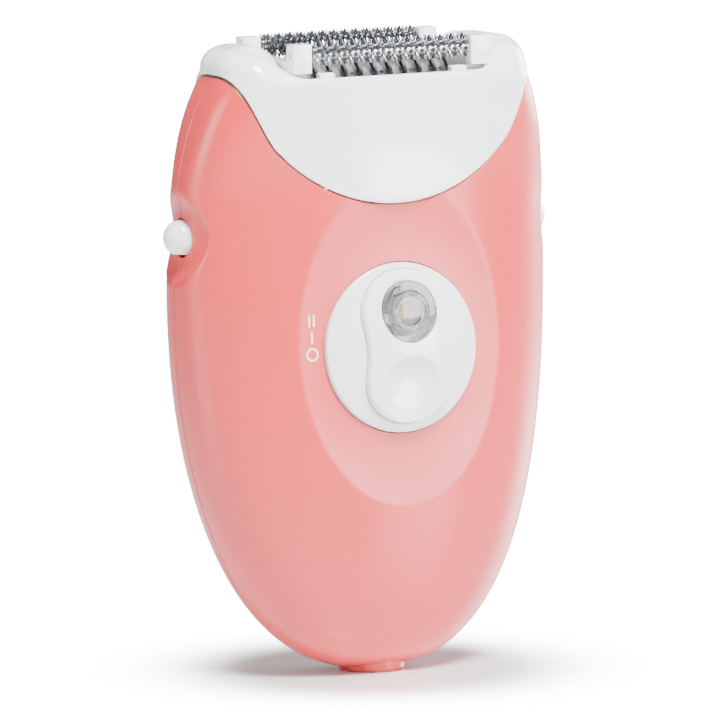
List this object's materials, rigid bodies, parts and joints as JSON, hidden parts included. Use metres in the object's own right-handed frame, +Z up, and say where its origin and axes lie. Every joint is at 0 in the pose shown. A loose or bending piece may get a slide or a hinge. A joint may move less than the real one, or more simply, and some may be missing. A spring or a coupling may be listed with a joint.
{
  "type": "epilator",
  "caption": "Hand-held corded epilator: egg-shaped two-part grip, turning switch dial with lamp window, side release buttons, lift-off head with tweezer drum between two massage rollers.",
  "frame": {"origin": "centre of the inlet recess at the flat bottom of the foot ring, which the epilator stands on", "axes": "+Z up the grip towards the head, -Y out of the front (dial side), +X to the right seen from the front"},
  "size_m": [0.0774, 0.0369, 0.1147],
  "materials": {
    "coral_shell": "satin, faint pearl",
    "white_gloss": "gloss",
    "clear_window": "clear polished",
    "lamp": "clear epoxy",
    "black_plastic": "moulded",
    "brass": "turned",
    "bronze": "sintered",
    "lead_sleeve": "extruded",
    "board": "solder mask",
    "board_parts": "moulded",
    "acetal": "moulded",
    "chassis_plastic": "moulded",
    "steel": "bright",
    "motor_steel": "plated",
    "magnet": "sintered",
    "winding": "enamelled copper",
    "chrome": "mirror plated",
    "drum_grey": "moulded"
  },
  "bodies": {
    "grip": {"front_shell": "coral_shell", "rear_shell": "coral_shell", "foot_ring": "coral_shell", "socket_block": "black_plastic", "contact_sleeves": "brass", "socket_leads": "lead_sleeve", "circuit_board": "board", "board_parts": "board_parts", "led": "lamp", "gear_chassis": "chassis_plastic", "chassis_screws": "steel", "motor_can": "motor_steel", "motor_end_cap": "black_plastic", "motor_magnets": "magnet", "motor_bushes": "bronze", "motor_terminals": "brass", "chassis_bushes": "bronze", "idler_pin": "steel", "button_spring_left": "steel", "button_spring_right": "steel"},
    "dial": {"switch_dial": "white_gloss", "dial_insert": "white_gloss", "led_window": "clear_window", "dial_spindle": "acetal"},
    "button_left": {"release_button_left": "white_gloss"},
    "button_right": {"release_button_right": "white_gloss"},
    "rotor": {"motor_armature": "winding", "motor_shaft": "steel", "motor_pinion": "brass"},
    "crown": {"crown_gear": "acetal", "crown_axle": "steel", "transfer_pinion": "acetal"},
    "idler": {"idler_gear": "acetal"},
    "head": {"head_cap": "white_gloss", "roller_carrier": "white_gloss", "drum_bushes": "bronze", "roller_axle_front": "steel", "roller_axle_rear": "steel"},
    "roller_front": {"massage_roller_front": "chrome"},
    "roller_rear": {"massage_roller_rear": "chrome"},
    "drum": {"drum_core": "drum_grey", "drum_axle": "steel", "drum_gear": "acetal", "fixed_tweezers": "steel"},
    "clamp": {"moving_tweezers": "steel", "clamp_rods": "steel"}
  },
  "joints": [
    {"name": "dial_turn", "type": "hinge", "parent": "grip", "child": "dial", "pos_m": [0, -0.0122, 0.0594], "axis": [0, 0.9976, -0.0698], "range_deg": [0, 20]},
    {"name": "button_left_press", "type": "slide", "parent": "grip", "child": "button_left", "axis": [1, 0, 0], "range_m": [0, 0.0015], "stiffness_N_per_m": 1200, "springref_m": -0.0008, "deforming": ["button_spring_left"]},
    {"name": "button_right_press", "type": "slide", "parent": "grip", "child": "button_right", "axis": [-1, 0, 0], "range_m": [0, 0.0015], "stiffness_N_per_m": 1200, "springref_m": -0.0008, "deforming": ["button_spring_right"]},
    {"name": "head_lift", "type": "slide", "parent": "grip", "child": "head", "axis": [0, 0, 1], "range_m": [0, 0.03]},
    {"name": "roller_front_spin", "type": "hinge", "parent": "head", "child": "roller_front", "pos_m": [0, -0.008, 0.1124], "axis": [1, 0, 0], "continuous": true},
    {"name": "roller_rear_spin", "type": "hinge", "parent": "head", "child": "roller_rear", "pos_m": [0, 0.011, 0.1124], "axis": [1, 0, 0], "continuous": true},
    {"name": "drum_spin", "type": "hinge", "parent": "head", "child": "drum", "pos_m": [0, 0.0015, 0.1046], "axis": [1, 0, 0], "continuous": true},
    {"name": "tweezer_close", "type": "slide", "parent": "drum", "child": "clamp", "axis": [-1, 0, 0], "range_m": [0, 0.0006], "stiffness_N_per_m": 1500, "springref_m": -0.0004},
    {"name": "rotor_spin", "type": "hinge", "parent": "grip", "child": "rotor", "pos_m": [0, 0.005, 0.043], "axis": [0, 0, 1], "continuous": true},
    {"name": "crown_spin", "type": "hinge", "parent": "grip", "child": "crown", "pos_m": [0, 0.005, 0.084], "axis": [1, 0, 0], "continuous": true},
    {"name": "idler_spin", "type": "hinge", "parent": "grip", "child": "idler", "pos_m": [0, 0.00326, 0.09425], "axis": [1, 0, 0], "continuous": true}
  ],
  "couplings": [
    {"joint": "crown_spin", "follows": "rotor_spin", "ratio": 0.35714},
    {"joint": "idler_spin", "follows": "rotor_spin", "ratio": -0.30612},
    {"joint": "drum_spin", "follows": "rotor_spin", "ratio": 0.35714}
  ]
}
